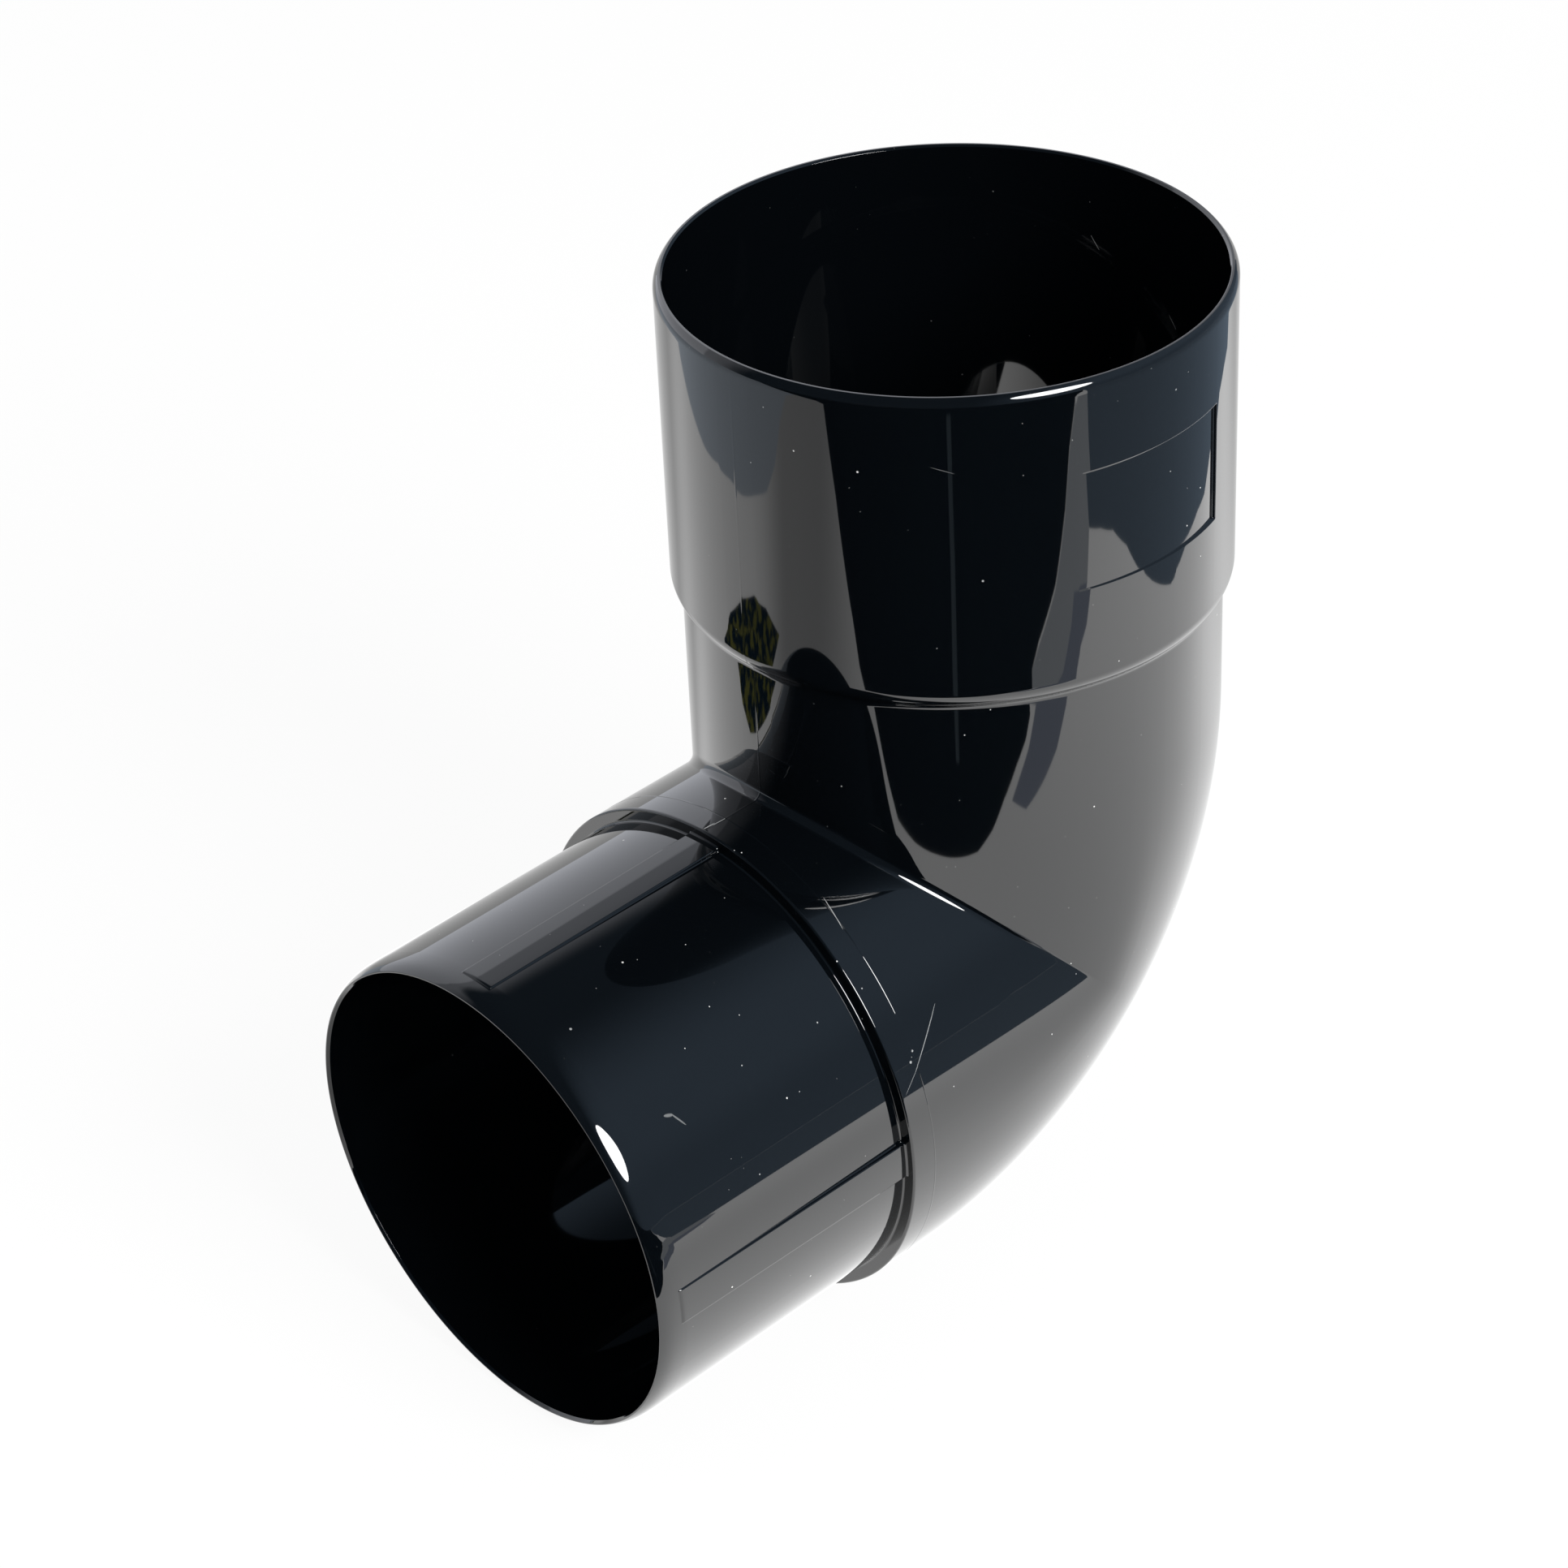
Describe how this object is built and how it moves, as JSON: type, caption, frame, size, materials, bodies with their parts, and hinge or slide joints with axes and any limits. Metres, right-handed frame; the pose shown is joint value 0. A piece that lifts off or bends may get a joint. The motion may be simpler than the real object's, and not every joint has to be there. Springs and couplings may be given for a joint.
{
  "type": "downpipe offset bend",
  "caption": "Gloss black bend for a round rainwater downpipe: a socket on top, a mitred elbow with a swept heel, and a slimmer ribbed spigot behind a shoulder.",
  "frame": {"origin": "centre of the socket's mouth, in the plane of its lip", "axes": "+Z along the socket's axis, out of its mouth and up; the spigot points to -X and falls 2.5 degrees; Y runs across the part, and the bare panel is on its -Y side"},
  "size_m": [0.1394, 0.0832, 0.1518],
  "materials": {
    "gloss_plastic": "gloss"
  },
  "bodies": {
    "root": {"downpipe_bend": "gloss_plastic"}
  },
  "joints": []
}
